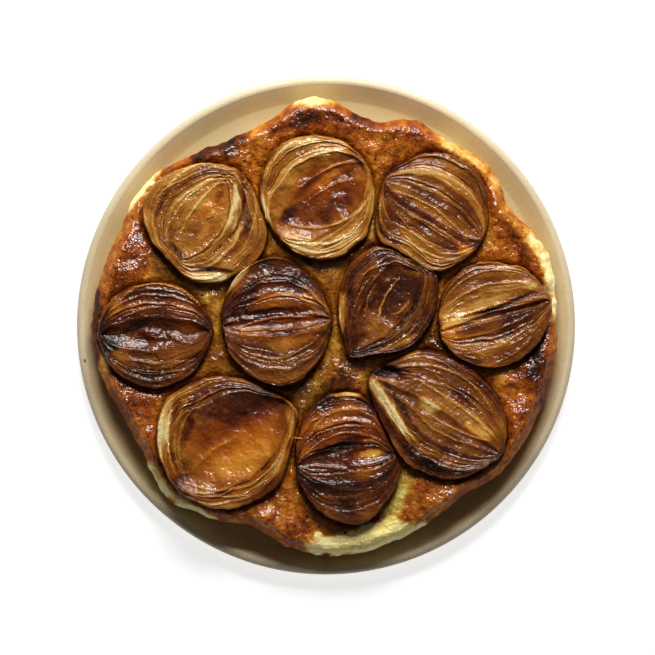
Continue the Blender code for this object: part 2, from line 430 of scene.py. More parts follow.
def rim_of(name):
    """The middle of a half's rim, its height, and its radii at sorted bearings."""
    points = np.unique(np.round(read_points(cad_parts[name]), 7), axis=0)
    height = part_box(name)[1].z - FACE_SAG - RELIEF
    rim = points[np.abs(points[:, 2] - height) < 0.1 * MM][:, :2]
    middle = (rim.max(0) + rim.min(0)) / 2
    away = rim - middle
    bearing = np.arctan2(away[:, 1], away[:, 0])
    order = np.argsort(bearing)
    return middle, height, bearing[order], np.hypot(*away.T)[order]


# Where an outline bulges or is dented, as (bearing, half width in degrees, millimetres).
BULGES = {
    "onion_01": ((-12, 28, 4.0), (222, 26, -5.0), (180, 22, -3.5), (85, 12, 1.0)),
    "onion_02": ((268, 34, 2.4), (130, 14, 1.0), (20, 16, -0.8)),
    "onion_03": ((266, 22, 2.2), (120, 14, -1.2), (40, 12, 0.8)),
    "onion_04": ((90, 34, -1.8), (5, 14, 1.0), (200, 12, -0.8)),
    "onion_05": ((125, 16, 0.9), (60, 12, -0.8), (230, 14, -0.8)),
    "onion_06": ((237, 12, 2.6), (292, 20, 2.4), (110, 14, -1.0)),
    "onion_07": ((150, 14, -1.0), (60, 14, 0.8), (250, 16, -0.8)),
    "onion_08": ((150, 20, 3.0), (25, 18, 4.5), (290, 18, -1.0)),
    "onion_09": ((160, 12, 0.8), (310, 16, -1.0), (60, 12, 0.8)),
    "onion_10": ((100, 24, 2.6), (150, 14, 3.4), (250, 24, -2.0), (-10, 12, 1.0)),
}


def bulged(name, rim):
    """A half's rim with its bulges and dents, which blend in over their half widths."""
    middle, height, bearings, radii = rim
    for bearing, half_width, amount in BULGES[name]:
        away = np.abs((np.degrees(bearings) - bearing + 180) % 360 - 180)
        radii = radii + amount * MM * np.exp(-((away / half_width) ** 2))
    return middle, height, bearings, radii


RIMS = {name: bulged(name, rim_of(name)) for name in ONION_NAMES}
for name, (middle, _, bearings, radii) in RIMS.items():
    print(name, np.round(middle / MM, 1), len(bearings), "rim points", np.round(radii.max() / MM, 1))

# %% [markdown]
# ## The onion halves
# An onion cut from root to tip shows its scales as nested loops that all run into both ends. In
# the oven the flesh between the scales sinks and browns, while their thin edges stand up as wavy
# ridges; these edges are painted paler, partly their own colour and partly a painted highlight,
# and the gaps between scales are painted darker as painted shade. A ball is a good start: its upper
# rings become the loops on the cut face and its lower rings the rounded back. Each loop is then
# raised or sunk by what the scale does there, with wrinkles that follow the loops.

# %% The look of each half
# Millimetres and degrees, in the frame. axis: from root to tip. keep: how much of the full
# length the innermost loop still has. heart: its share of the width, and how deep it is sunk.
# scales: how many lie left and right of the axis. tone: from 0, near black, to 1, cream. grain:
# how crumpled the cut flesh is, which also sets how much painted grey sheen it has. relief: how
# strongly its scales stand out.
# The next six are soft patches, each (x, y, half length, half width, angle, amount): tones lighten
# or darken, and where a tone darkens a sunk slit or hollow it is painted shade; rises lift or sink,
# chars burn black, grey patches are grainy greyish flesh with a painted sheen, smooths calm the
# wrinkles and ambers are clear syrup. edges are single scale edges: (x0, y0, x1, y1, bow, width,
# height, tone); a light tone paints the edge paler, partly its own colour and partly a painted
# highlight, and a dark tone on a sunk edge is painted shade in the slit.
LOOKS = {}
LOOKS["onion_01"] = dict(
    axis=57, keep=0.58, heart=(0.33, 1.2), scales=(6, 6), tone=0.65, grain=0.8,
    tones=(
        (-66, 56, 20, 8, 55, -0.08), (-60, 72, 10, 5, 60, 0.04), (-70, 62, 10, 4, 50, 0.05),
        # the light tone at (-62, 58), over a small rise, is a painted glint
        (-72, 50, 8, 6, 50, -0.08), (-57, 70, 4, 2.0, 70, -0.22), (-62, 58, 4, 2, 20, 0.16),
        (-66, 50, 6, 2.4, 60, 0.14), (-76, 75, 22, 4, 38, -0.22), (-84, 52, 5, 14, 14, -0.12),
        (-43, 60, 5, 20, 5, -0.18), (-60, 26, 18, 3.0, -5, 0.42), (-60, 30, 15, 1.4, -5, -0.5),
        (-81, 41, 10, 2.4, -38, -0.3), (-46, 48, 3, 10, 20, 0.1),
    ),
    rises=((-62, 59, 3, 1.6, 40, 0.9),),
    grey_sheens=((-73, 50, 9, 8, 50, 1.0), (-86, 54, 6, 15, 12, 1.0), (-43, 60, 5, 18, 5, 1.0)),
    smooths=((-76, 75, 22, 5, 38, 0.8),),
    ambers=((-63, 64, 18, 8, 58, 0.6),),
    edges=(
        (-49, 82, -79, 46, -4.5, 0.6, 1.6, 0.3), (-49, 82, -68, 40, 8, 1.6, 1.5, 0.24),
        (-46, 82, -64, 37, 9.5, 0.8, -1.2, -0.3), (-87, 47, -49, 84, 6.5, 0.6, 1.0, 0.26),
        (-94, 50, -43, 87, 16, 0.5, 0.9, 0.3), (-91, 50, -46, 85, 13, 0.5, 0.9, 0.24),
        (-43, 84, -44, 42, 6, 0.6, 0.9, 0.2),
    ),
)
LOOKS["onion_02"] = dict(
    axis=35, keep=0.84, heart=(0.58, 2.8), scales=(5, 5), tone=0.6, grain=0.35,
    tones=(
        (-1, 73, 27, 17, 36, -0.24), (10, 66, 20, 9, 38, -0.14), (-3, 76, 20, 2.6, 34, 0.2),
        (-15, 80, 10, 5, 40, 0.14), (-16, 45, 14, 5, -18, 0.16), (-33, 62, 2.5, 9, 15, 0.4),
        (-6, 98, 22, 3.5, -5, 0.16), (-20, 60, 7, 4, 50, -0.26), (6, 47, 22, 4, 12, 0.06),
    ),
    rises=((-13, 74, 8, 3, 50, 0.8),),
    chars=((-21, 59, 5, 3, 60, 0.55),),
    grey_sheens=((-2, 93, 20, 5, -8, 0.8),),
    smooths=((8, 66, 20, 10, 34, 0.8),),
    ambers=((0, 72, 28, 18, 36, 0.7),),
    edges=(
        (-20, 54, 26, 72, -9, 0.7, 1.6, 0.34), (-14, 73, 21, 88, 4, 0.8, 1.2, 0.14),
        (-12, 64, 17, 79, 3, 0.9, 1.0, 0.14), (-22, 82, 14, 95, 3, 0.6, 1.0, 0.3),
        (-33, 78, -16, 99, 3, 0.8, 1.1, 0.3), (-24, 50, 24, 62, -12, 0.6, 0.9, 0.2),
        (-18, 88, 16, 90, 5, 0.5, 0.9, 0.26), (-24, 46, 20, 52, -10, 0.5, 0.8, 0.2),
    ),
)
LOOKS["onion_03"] = dict(
    axis=-31, keep=0.93, heart=(0.1, 0.4), scales=(6, 6), tone=0.53, grain=0.3,
    tones=(
        (60, 86, 22, 4, -18, 0.04), (74, 66, 14, 6, -46, -0.1), (35, 48, 14, 6, -60, -0.16),
        (40, 74, 6, 3, 0, 0.14), (75, 41, 5, 3, -30, 0.3), (58, 60, 18, 4, -38, 0.12),
        (46, 40, 14, 3, -20, 0.1),
    ),
    grey_sheens=((52, 72, 18, 5, -20, 0.6),),
    smooths=(
        (60, 85, 20, 4, -18, 0.9), (76, 64, 12, 5, -50, 0.7), (36, 46, 12, 5, -60, 0.7),
        (74, 42, 6, 4, -30, 0.9),
    ),
    ambers=((74, 42, 7, 5, -30, 0.8),),
    edges=(
        (35, 87, 86, 68, 13, 0.5, 1.0, 0.34), (30, 78, 84, 62, 12, 0.8, 1.2, 0.2),
        (31, 73, 78, 42, 6, 0.6, 1.3, 0.24), (44, 60, 72, 44, 0.8, 0.6, 1.5, 0.4),
        (33, 69, 76, 41, -1.5, 0.6, 1.2, 0.24), (38, 60, 72, 38, -4, 0.5, 1.0, 0.26),
        (40, 51, 68, 35, -4, 0.6, 1.0, 0.24), (31, 72, 40, 44, -6, 0.5, 0.8, 0.18),
    ),
)
LOOKS["onion_04"] = dict(
    axis=2, keep=0.92, heart=(0.3, 3.0), scales=(5, 5), tone=0.35, grain=0.45, relief=0.9,
    tones=(
        (-84, -6, 20, 7, 0, -0.06), (-113, 9, 8, 3, 55, 0.16), (-84, 22, 20, 3, -14, 0.12),
        (-88, 9, 22, 5, 0, 0.06),
    ),
    rises=((-92, -5, 10, 3.2, -12, 1.5), (-79, -7, 7, 2.6, -25, 1.1), (-78, -15, 11, 3.0, 8, 1.4)),
    chars=((-114, -9, 9, 4.5, 25, 0.95), (-103, -1, 12, 2.6, 22, 0.85)),
    grey_sheens=((-90, -24, 26, 5, 0, 0.9),),
    smooths=((-88, -5, 24, 9, 0, 1.0), (-88, 9, 22, 4, 0, 0.6)),
    ambers=((-86, 6, 28, 20, 0, 0.4),),
    edges=(
        (-118, -2, -66, 5, 8, 0.6, 1.0, 0.16), (-118, 5, -64, 6, 17, 0.6, 1.0, 0.3),
        (-116, 8, -65, 8, 16, 0.6, 1.1, 0.28), (-114, -16, -68, -18, -3, 0.6, 0.9, 0.16),
        (-112, -20, -70, -22, -4, 0.5, 0.8, 0.18),
    ),
)
LOOKS["onion_05"] = dict(
    axis=4, keep=0.95, heart=(0.1, 1.5), scales=(5, 6), tone=0.36, grain=0.5,
    tones=(
        # the dark tone at (-26, 7) is painted shade in the slit that the rise below sinks
        (-26, 7, 22, 3.5, 5, -0.2), (-41, -2.5, 9, 2.2, -4, 0.3), (-17, -4.5, 16, 2.6, 6, -0.26),
        (-22, -11, 22, 4, 8, 0.16), (-42, 16, 14, 5, 60, -0.2), (-20, 26, 16, 3.5, -12, -0.14),
        (-47, 26, 17, 2.4, 50, 0.46), (-8, 12, 9, 3, -50, 0.16), (-30, 12, 14, 3, 12, 0.1),
        (-56, -4, 3, 14, 0, -0.1),
    ),
    rises=((-28, 6, 22, 3, 5, -1.4),),
    grey_sheens=((-25, -20, 22, 7, 0, 0.8),),
    smooths=((-47, 26, 14, 2.4, 50, 0.8),),
    ambers=((-28, 8, 30, 20, 5, 0.6),),
    edges=(
        (-46, -1, -8, 4, 2.5, 0.7, 1.7, 0.34), (-13, 21, 3, 5, 1.5, 0.9, 1.5, 0.45),
        (-32, 15, -12, 14, 2, 0.7, 1.2, 0.4), (-56, 8, -12, 35, 13, 0.7, 0.9, 0.28),
        (-46, 5, -6, 10, 9, 0.6, 1.1, 0.16), (-48, 0, -40, -6, -1, 0.5, 0.8, 0.2),
        (-46, -13, -4, -6, -8, 0.6, 1.0, 0.24), (-50, 4, -6, 18, 14, 0.5, 0.9, 0.18),
    ),
)
LOOKS["onion_06"] = dict(
    axis=237, keep=0.72, heart=(0.42, 2.0), scales=(5, 5), tone=0.36, grain=0.6,
    tones=(
        (39, 19, 13, 10, 0, -0.14), (30, -5, 20, 4, 30, 0.14), (38, -10, 16, 2, 25, 0.3),
        (8.5, 4, 2.4, 16, -6, 0.34), (14, 10, 2.5, 16, 0, -0.14), (42, 33, 15, 3, -30, 0.12),
        (25, 2, 4, 10, -10, 0.14), (55, 14, 3, 12, 20, 0.08),
    ),
    grey_sheens=((23, 8, 4, 12, -15, 1.0), (34, -4, 20, 6, 32, 1.0)),
    smooths=((39, 19, 13, 10, 0, 1.0),),
    edges=(
        (28, 1, 39, 25, 2.4, 0.7, 1.6, 0.5), (21, 4, 27, 22, 1.5, 0.6, 1.1, 0.3),
        (36, 5, 44, 13, -1, 0.8, 1.0, 0.26), (12, -16, 58, 14, -12, 0.7, 1.0, 0.2),
        (14, 14, 42, 32, 8, 0.6, 0.9, 0.2), (13, -16, 16, 26, 7, 0.6, 1.0, 0.26),
        (14, -16, 24, 26, 5, 0.5, 1.0, 0.2), (13, -17, 52, 4, -5, 0.6, 1.0, 0.26),
    ),
)
LOOKS["onion_07"] = dict(
    axis=16, keep=0.97, heart=(0.08, 2.4), scales=(4, 6), tone=0.45, grain=0.25, relief=0.6,
    tones=(
        (85, 13.5, 26, 5.4, 19, 0.36), (74, 3, 13, 3.4, 18, 0.44), (100, 10, 16, 2.6, 14, 0.16),
        (66, -4, 6, 4, -10, 0.16), (61, -3, 1.6, 6, 0, -0.24), (90, 32, 24, 3, -8, 0.1),
        (86, 24, 24, 3, 6, -0.1), (98, -10, 18, 7, 30, -0.06), (111, 21, 4, 2, 30, 0.2),
    ),
    rises=((85, 12, 26, 4.5, 19, -1.0), (80, 3, 24, 4.5, 15, 1.1)),
    smooths=((85, 13, 26, 5, 19, 1.0), (80, 3, 24, 5, 16, 1.0), (68, -4, 8, 4, -10, 0.8)),
    ambers=((68, -3, 9, 6, -10, 1.0),),
    edges=(
        (60, 2, 111, 17, -1.6, 0.9, -2.4, -0.55), (61, 1, 118, 15, 2.0, 0.6, 0.9, 0.24),
        (62, -0.5, 86, 2.5, 0.2, 0.6, 0.6, 0.26), (60, 6, 111, 22, 7, 0.6, 1.2, 0.3),
        (64, -6, 116, 11, -5, 0.6, 1.0, 0.2), (68, -15, 116, 10, -8, 0.6, 1.0, 0.2),
        (62, 12, 108, 27, 9, 0.5, 0.9, 0.2), (78, -22, 116, 6, -8, 0.5, 0.9, 0.18),
    ),
)
LOOKS["onion_08"] = dict(
    axis=37, keep=0.88, heart=(0.64, 3.4), scales=(5, 5), tone=0.52, grain=0.3,
    tones=(
        (-46, -42, 28, 14, 6, -0.22), (-56, -52, 24, 9, 30, -0.08), (-46, -71, 22, 8, 36, 0.14),
        (-38, -76, 12, 4, 40, 0.12), (-88, -56, 4.5, 24, -10, 0.34), (-74, -54, 2.5, 18, -16, -0.16),
        (-55, -97, 22, 3, 2, 0.2), (-19, -50, 2.5, 12, 10, 0.28), (-78, -83, 6, 3, 40, -0.24),
        (-43, -47, 3, 1, 20, -0.3), (-28, -78, 14, 3, 52, 0.16),
    ),
    grey_sheens=((-58, -44, 18, 8, 30, 0.6),),
    smooths=((-48, -64, 24, 14, 38, 0.6),),
    ambers=((-48, -62, 32, 24, 38, 0.85),),
    edges=(
        (-76, -82, -62, -36, 9, 0.7, 1.4, 0.22), (-76, -84, -20, -60, -15, 0.8, 1.2, 0.24),
        (-80, -82, -82, -40, 4, 0.6, 1.3, 0.34), (-84, -80, -86, -44, 5, 0.6, 1.2, 0.34),
        (-72, -78, -45, -59, 2.5, 1.2, 0.6, 0.12), (-22, -38, -18, -68, 6, 0.8, 1.0, 0.32),
        (-86, -78, -87, -42, 5, 0.4, -0.6, -0.26), (-79, -80, -78, -40, 5, 0.5, -0.6, -0.24),
        (-76, -84, -72, -36, 7, 0.5, 1.0, 0.26), (-72, -88, -24, -70, -12, 0.6, 1.0, 0.22),
    ),
)
LOOKS["onion_09"] = dict(
    axis=8, keep=0.92, heart=(0.16, 1.2), scales=(7, 6), tone=0.28, grain=0.4, relief=0.85,
    tones=(
        # the dark tone at (10, -64) is painted shade in the groove that the rise below sinks
        (24, -68.5, 8, 2.6, 6, 0.62), (10, -64, 20, 3.5, 18, -0.24), (9, -36.5, 13, 2.4, -3, 0.5),
        (4, -50, 24, 7, 18, 0.14), (4, -86, 18, 6, 0, -0.1), (38, -58, 2, 12, 12, 0.24),
    ),
    rises=((10, -65, 18, 3, 18, -1.2),),
    grey_sheens=((7, -69, 4, 4, 30, 1.0), (12, -98, 18, 6, 0, 0.6)),
    smooths=((23, -68, 9, 3, 6, 0.9), (6, -84, 18, 5, 0, 0.7)),
    ambers=((10, -62, 30, 24, 0, 0.7),),
    edges=(
        (-15, -74, 36, -66, 12, 0.7, 1.1, 0.2), (-14, -73, 34, -50, 16, 0.6, 1.0, 0.24),
        (-12, -76, 12, -78, 1.5, 0.7, 0.9, 0.2), (10, -36, 38, -58, 5, 0.6, 0.8, 0.26),
        (-14, -73, 36, -62, 17, 0.5, 0.9, 0.2), (-15, -76, 32, -86, -6, 0.6, 0.9, 0.2),
    ),
)
LOOKS["onion_10"] = dict(
    axis=-31, keep=0.95, heart=(0.1, 0.8), scales=(6, 6), tone=0.42, grain=0.45, relief=0.85,
    tones=(
        # the dark tone at (30, -24) is painted shade in the deep hollow that the rise below sinks
        (30, -24, 12, 4.5, -12, -0.5), (34, -44, 22, 3.0, -56, 0.56), (40, -43, 18, 1.6, -56, -0.26),
        (40, -68, 10, 3, -50, 0.14), (52, -17, 16, 3, -4, 0.22), (73, -38, 8, 3, -25, -0.2),
        (55, -43, 7, 4, -45, 0.34), (78, -49, 10, 4, -20, 0.14), (82, -57, 9, 4.5, -25, 0.34),
        (60, -76, 14, 3, -15, -0.16), (72, -82.5, 20, 2.5, 5, 0.12),
    ),
    rises=((32, -25, 12, 4, -12, -3.2),),
    grey_sheens=((60, -32, 9, 4, -20, 1.0), (72, -73, 16, 5, -5, 1.0), (62, -46, 30, 18, -35, 0.6)),
    smooths=((34, -44, 22, 3.0, -56, 0.9), (72, -81, 20, 4, 5, 0.8)),
    ambers=((82, -56, 10, 7, -25, 0.5),),
    edges=(
        (26, -26, 48, -62, -2, 0.7, 1.4, 0.24), (38, -22, 92, -52, 12, 0.7, 1.2, 0.26),
        (48, -30, 90, -60, 3, 0.7, 1.1, 0.24), (42, -38, 86, -66, -6, 0.7, 1.2, 0.24),
        (56, -48, 88, -62, -2, 0.7, 1.2, 0.32), (46, -60, 92, -74, -10, 0.7, 1.1, 0.22),
        (40, -30, 90, -56, 9, 0.5, 1.0, 0.2), (36, -34, 60, -74, -8, 0.6, 1.0, 0.22),
    ),
)


# %% [markdown]
# The shaping itself: where a loop runs, how deep the flesh lies between two scale edges, and the
# marks that are particular to one half.

# %% Shape one half
HALF_SEGMENTS = 320
HALF_RINGS = 170
FACE_SHARE = 0.86
BACK_FULLNESS = 0.62
MAX_SCALES = 14
# The rest in millimetres, but for the two shares.
EDGE_DROP = 0.5  # how far the face bends down towards its rim
RIM_WOBBLE = 0.018  # as a share of the reach
UNEVEN_SCALES = 0.75  # how much thicker or thinner one scale is than the next, as a share
CREST_PLACE, CREST_WIDTH, CREST_HEIGHT = 0.12, 0.34, 0.22  # the thin edge that stands up
SLOT_WIDTH, SLOT_DEPTH = 0.30, 0.28  # the gap between two scales
TROUGH_DEPTH = 0.42  # how far the flesh between two edges sinks
HIGHEST = 0.4  # above the frame's solid


def scale_numbers(seed, spread):
    """One repeatable number for each scale, from -spread to spread."""
    return corner_value(np.arange(MAX_SCALES + 1), np.int64(7), np.int64(3), seed) * spread


def scale_starts(seed, count):
    """Where each of some unequal scales starts, as shares from 0 to 1."""
    widths = 1 + scale_numbers(seed, UNEVEN_SCALES)[:count]
    return np.concatenate([[0], np.cumsum(widths) / widths.sum()])


def along_line(x, y, line):
    """For each point its distance to a bowed line and how far along that line it is, 0 to 1."""
    x0, y0, x1, y1, bow = line
    best = np.full(x.shape, 1e3)
    where = np.zeros(x.shape)
    steps = 40
    length = math.hypot(x1 - x0, y1 - y0)
    for step in range(steps + 1):
        t = step / steps
        arch = 4 * t * (1 - t) * bow / length
        line_x = x0 + (x1 - x0) * t - (y1 - y0) * arch
        line_y = y0 + (y1 - y0) * t + (x1 - x0) * arch
        away = np.hypot(x - line_x, y - line_y)
        where = np.where(away < best, t, where)
        best = np.minimum(best, away)
    return best, where


def loop_share(along, across, reach_at, keep):
    """Which loop of scale each point is on, 0 on the slit to 1 at the rim, and where on it."""
    low, high = np.zeros(along.shape), np.full(along.shape, 1.1)
    for _ in range(13):
        middle = (low + high) / 2
        kept = keep + (1 - keep) * middle
        angle = np.arctan2(across / middle, along / kept)
        outside = np.hypot(along / kept, across / middle) > reach_at(angle)
        low, high = np.where(outside, middle, low), np.where(outside, high, middle)
    return np.clip(middle, 0, 1), np.cos(angle)


def soft_pick(numbers, layer):
    """Each scale's own number, blended over the last fifth of its width."""
    index = np.clip(np.floor(layer).astype(int), 0, MAX_SCALES - 1)
    return numbers[index] + (numbers[index + 1] - numbers[index]) * smooth_step(layer - index, 0.78, 1)


def shape_half(name, look, seed):
    """One onion half: a wrinkled cut face above and a rounded back below."""
    middle, rim_height, bearings, radii = RIMS[name]
    low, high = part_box(name)
    axis = math.radians(look["axis"])
    half, share, azimuth = fresh_sphere("half_" + name, HALF_SEGMENTS, HALF_RINGS)

    def reach_at(angle):
        turned = (angle + axis + math.pi) % math.tau - math.pi
        return smooth_round(radii, bearings, turned) / MM

    uneven = round_noise(azimuth, 4, seed) + 0.6 * round_noise(azimuth, 11, seed + 1)
    reach = reach_at(azimuth) * (1 + RIM_WOBBLE * uneven)
    out = np.clip(share / FACE_SHARE, 0, 1)
    back = np.clip((share - FACE_SHARE) / (1 - FACE_SHARE), 0, 1)
    scale = np.where(back > 0, np.cos(back * math.pi / 2) ** BACK_FULLNESS, out)
    along = reach * np.cos(azimuth) * scale
    across = reach * np.sin(azimuth) * scale
    x = middle[0] / MM + along * math.cos(axis) - across * math.sin(axis)
    y = middle[1] / MM + along * math.sin(axis) + across * math.cos(axis)

    # which scale each point belongs to, counted from the heart, and how far across it
    heart, heart_depth = look["heart"]
    sway = 0.9 * noise(x / 12, y / 12, 0.5, seed) * (1 - smooth_step(out, 0.8, 1.0))
    s, place = loop_share(along, across + sway, reach_at, look["keep"])
    side = smooth_step(across + sway, -1.6, 1.6)
    ripple = 0.032 * noise(x / 7, y / 7, 0.5, seed) + 0.014 * noise(x / 2.6, y / 2.6, 0.5, seed + 1)
    wavy = np.clip(s + ripple * smooth_step(s, 0.0, 0.2) * (1 - smooth_step(s, 0.93, 1.0)), 0, 1)
    outer = np.clip((wavy - heart) / (1 - heart), 0, 1)
    in_heart = 1 - smooth_step(wavy, heart * 0.92, heart * 1.03)
    skin = 1 - in_heart

    def both_sides(make):
        """The right and the left side's own pattern, blended over the axis."""
        right, left = make(1), make(0)
        return right + (left - right) * side

    layers = []
    for count, offset in zip(look["scales"], (60, 70)):
        layers.append(np.interp(outer, scale_starts(seed + offset, count), np.arange(count + 1)))

    def per_scale(offset, spread):
        """One number for each scale."""
        return both_sides(lambda k: soft_pick(scale_numbers(seed + offset + 50 * k, spread), layers[k]))

    def lines(offset, across_steps, along_steps):
        """Noise drawn out along the scales."""
        return both_sides(
            lambda k: noise(layers[k] * across_steps, place * along_steps, 0.5 + k, seed + offset)
        )

    def bands(shape):
        """A shape that repeats in each scale, from f, the share across it, and w, its width."""
        return both_sides(lambda k: shape(layers[k] % 1, reach * (1 - heart) / look["scales"][k]))

    crest = bands(lambda f, w: np.exp(-(((f - CREST_PLACE) * w / CREST_WIDTH) ** 2))) * skin
    slot = bands(lambda f, w: np.exp(-((np.minimum(f, 1 - f) * w / SLOT_WIDTH) ** 2))) * skin
    trough = bands(lambda f, w: np.sin(math.pi * np.clip((f - 0.14) / 0.86, 0, 1)) ** 0.8) * skin
    slope = bands(lambda f, w: f - 0.5) * skin
    broken = np.clip(0.5 + 1.1 * lines(2, 1.0, 5.0), 0, 1.4)
    strands = lines(3, 3.1, 3.0)
    fibres = lines(4, 7.5, 6.0)
    creases = lines(12, 4.5, 16.0)
    ends = smooth_step(np.abs(place), 0.82, 1.0) * smooth_step(s, 0.1, 0.7)
    lumps = cloud(x / 11, y / 11, 3.3, seed + 5, 2)
    crumple = noise(x / 1.6, y / 1.6, 5.1, seed + 6) + 0.6 * noise(x / 0.85, y / 0.85, 5.1, seed + 11)
    calm = 1 - 0.45 * in_heart

    # the marks that are particular to this half
    ragged = 1 + 0.25 * noise(x / 4, y / 4, 2.2, seed + 7) + 0.15 * creases

    def patches(kind):
        """Each patch of a kind: its amount, and a mask with a ragged, soft edge."""
        for *patch, amount in look.get(kind, ()):
            yield amount, 1 - smooth_step(patch_distance(x, y, *patch) * ragged, 0.35, 1.25)

    def added(kind):
        return sum((amount * mask for amount, mask in patches(kind)), np.zeros(x.shape))

    grainy = smooth_step(crumple + 0.4 * creases, -0.3, 0.9)
    # grain sets the grey mix: greyish grainy flesh with a painted sheen on it.
    grain = look["grain"] * smooth_step(crumple + 0.7 * creases, 0.1, 1.3) * calm * 0.7
    grain = grain + added("grey_sheens") * grainy
    for amount, mask in patches("smooths"):
        calm = calm * (1 - amount * mask)
    amber = np.zeros(x.shape)
    for amount, mask in patches("ambers"):
        amber = np.maximum(amber, amount * mask)
    char = np.zeros(x.shape)
    for amount, mask in patches("chars"):
        char = np.maximum(char, amount * smooth_step(mask * (1 + 0.5 * crumple), 0.15, 0.75))

    rough = (0.25 + 0.75 * calm) * look.get("relief", 1.0)
    height = -EDGE_DROP * s**4 - per_scale(10, 0.20) * trough - TROUGH_DEPTH * trough * rough
    height = height + per_scale(20, 0.36) * skin
    height = height + (CREST_HEIGHT * crest * broken - SLOT_DEPTH * slot * broken) * rough
    height = height + (0.20 * strands + 0.05 * fibres + 0.05 * creases) * (0.15 + 0.85 * calm)
    height = height + 0.6 * lumps + (0.045 + look["grain"] * 0.07 + 0.13 * grain) * crumple * calm
    height = height - heart_depth * (1 - np.clip(wavy / heart, 0, 1) ** 2.2) * in_heart
    height = height + added("rises")
    puckers = 0.40 * noise(x / 4.5, y / 4.5, 1.4, seed + 13) + 0.15 * noise(x / 2, y / 2, 1.4, seed + 14)
    height = height + puckers * in_heart * smooth_step(heart * reach, 3, 7)

    tone = look["tone"] + per_scale(30, 0.15) * skin + per_scale(40, 0.30) * slope
    # A scale's thin edge is painted paler, partly its own colour and partly a painted highlight, and the
    # gap between two scales is painted darker as painted shade.
    tone = tone + (0.22 * crest * broken - 0.20 * slot * broken) * rough
    tone = tone + (0.05 * strands + 0.03 * fibres + 0.02 * creases) * rough + 0.12 * lumps
    tone = tone - 0.10 * ends + added("tones")
    # An edge's tone paints it paler, partly its own colour and partly a painted highlight; a dark tone
    # on a sunk edge is painted shade in the slit.
    for *line, thick, lift, light in look["edges"]:
        away, where = along_line(x + 0.35 * crumple, y + 0.5 * strands, line)
        taper = np.sin(math.pi * np.clip(where, 0.02, 0.98)) ** 0.5
        mark = np.exp(-((away / thick) ** 2)) * taper * (0.55 + 0.45 * np.clip(broken, 0, 1))
        height = height + lift * mark
        tone = tone + 1.5 * light * mark

    rim = smooth_step(out, 0.972, 1.0)
    top = high.z + np.minimum(height, HIGHEST) * MM
    top = top * (1 - rim) + rim_height * rim
    under = rim_height - (rim_height - low.z) * np.sin(back * math.pi / 2)
    z = np.where(back > 0, under, top)
    write_points(half, np.stack([x * MM, y * MM, z], axis=1))
    veins = 0.5 + 0.16 * round_noise(azimuth, 14, seed + 9)
    paint(half, "tone", np.clip(np.where(back > 0, veins, tone), 0, 1))
    paint(half, "char", np.clip(char, 0, 1))
    paint(half, "amber", np.clip(amber * (back <= 0), 0, 1))
    paint(half, "grey", np.clip(grain * (back <= 0), 0, 1))
    paint(half, "across_scales", s * reach)
    paint(half, "along_scales", place * 30 + 6 * side)
    half.data.shade_smooth()
    return half


# %% [markdown]
# Roasted onion is wet, translucent flesh under a film of caramel: a brown that runs from cream to
# nearly black, clear amber where syrup soaked in, and greyish grainy cut flesh with a sheen painted
# into its colour.
# The film is a coat that lies only where the flesh faces up, with gentler ripples than the flesh
# below, so its window reflections stay sharp. Water and sugar syrup have an IOR near 1.4.

# %% Roasted onion
def onion_material():
    flesh = new_material("caramelised_onion_flesh")
    place = node(flesh, "TexCoord").outputs["Object"]
    mottle = texture(flesh, place, 420.0, 3.0)
    # fine threads run along the scales
    weave = calculate(flesh, "MULTIPLY", painted(flesh, "along_scales"), 0.16)
    height = node(flesh, "SeparateXYZ", _0=place).outputs["Z"]
    across = painted(flesh, "across_scales")
    thread_place = node(flesh, "CombineXYZ", _0=across, _1=weave, _2=height).outputs[0]
    threads = texture(flesh, thread_place, 1.5, 3.0)
    mottled = calculate(flesh, "MULTIPLY_ADD", mottle, 0.12, -0.11)
    mottled = calculate(flesh, "MULTIPLY_ADD", threads, 0.10, mottled)
    toned = calculate(flesh, "ADD", painted(flesh, "tone"), mottled)
    browns = ramp(
        flesh,
        toned,
        (
            (0.00, "#0f0400"), (0.15, "#270b01"), (0.30, "#451902"), (0.45, "#6e3706"),
            (0.60, "#915614"), (0.75, "#ae7830"), (0.88, "#c8a05c"), (1.00, "#dcc890"),
        ),
    )
    ambers = ramp(
        flesh,
        toned,
        ((0.0, "#1c0500"), (0.25, "#541a02"), (0.45, "#8c3e04"), (0.65, "#bc6c0e"), (1.0, "#e4aa3c")),
    )
    colour = mix(flesh, painted(flesh, "amber"), browns, ambers)
    # The grey mix is greyish grainy flesh with a sheen painted into its colour.
    sheen_veil = calculate(flesh, "MULTIPLY", painted(flesh, "grey"), 0.34)
    colour = mix(flesh, sheen_veil, colour, linear("#8a6a50"))
    colour = mix(flesh, painted(flesh, "char"), colour, linear("#0b0605"))
    wet = node(flesh, "MapRange", Value=toned, From_Max=0.2, To_Min=0.1, To_Max=0.8).outputs[0]
    relief = calculate(flesh, "MULTIPLY_ADD", threads, 0.6, texture(flesh, place, 520.0, 2.0))
    finish_material(
        flesh,
        Base_Color=colour,
        Roughness=0.45,
        IOR=1.4,
        Specular_IOR_Level=0.12,
        Subsurface_Weight=0.25,
        Subsurface_Radius=(1.0, 0.45, 0.2),
        Subsurface_Scale=0.003,
        Coat_Weight=calculate(flesh, "MULTIPLY", wet, lying_flat(flesh)),
        Coat_Roughness=0.07,
        Normal=bumpy(flesh, relief, 0.5, 0.0011),
        Coat_Normal=bumpy(flesh, relief, 0.5, 0.0008),
    )
    return flesh


onion_flesh = onion_material()
halves = []
for number, name in enumerate(ONION_NAMES):
    half = shape_half(name, LOOKS[name], 100 * (number + 1))
    half.data.materials.append(onion_flesh)
    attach(half, "root")
    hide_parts(name)
    halves.append(half)
    print(half.name, len(half.data.polygons), "faces")

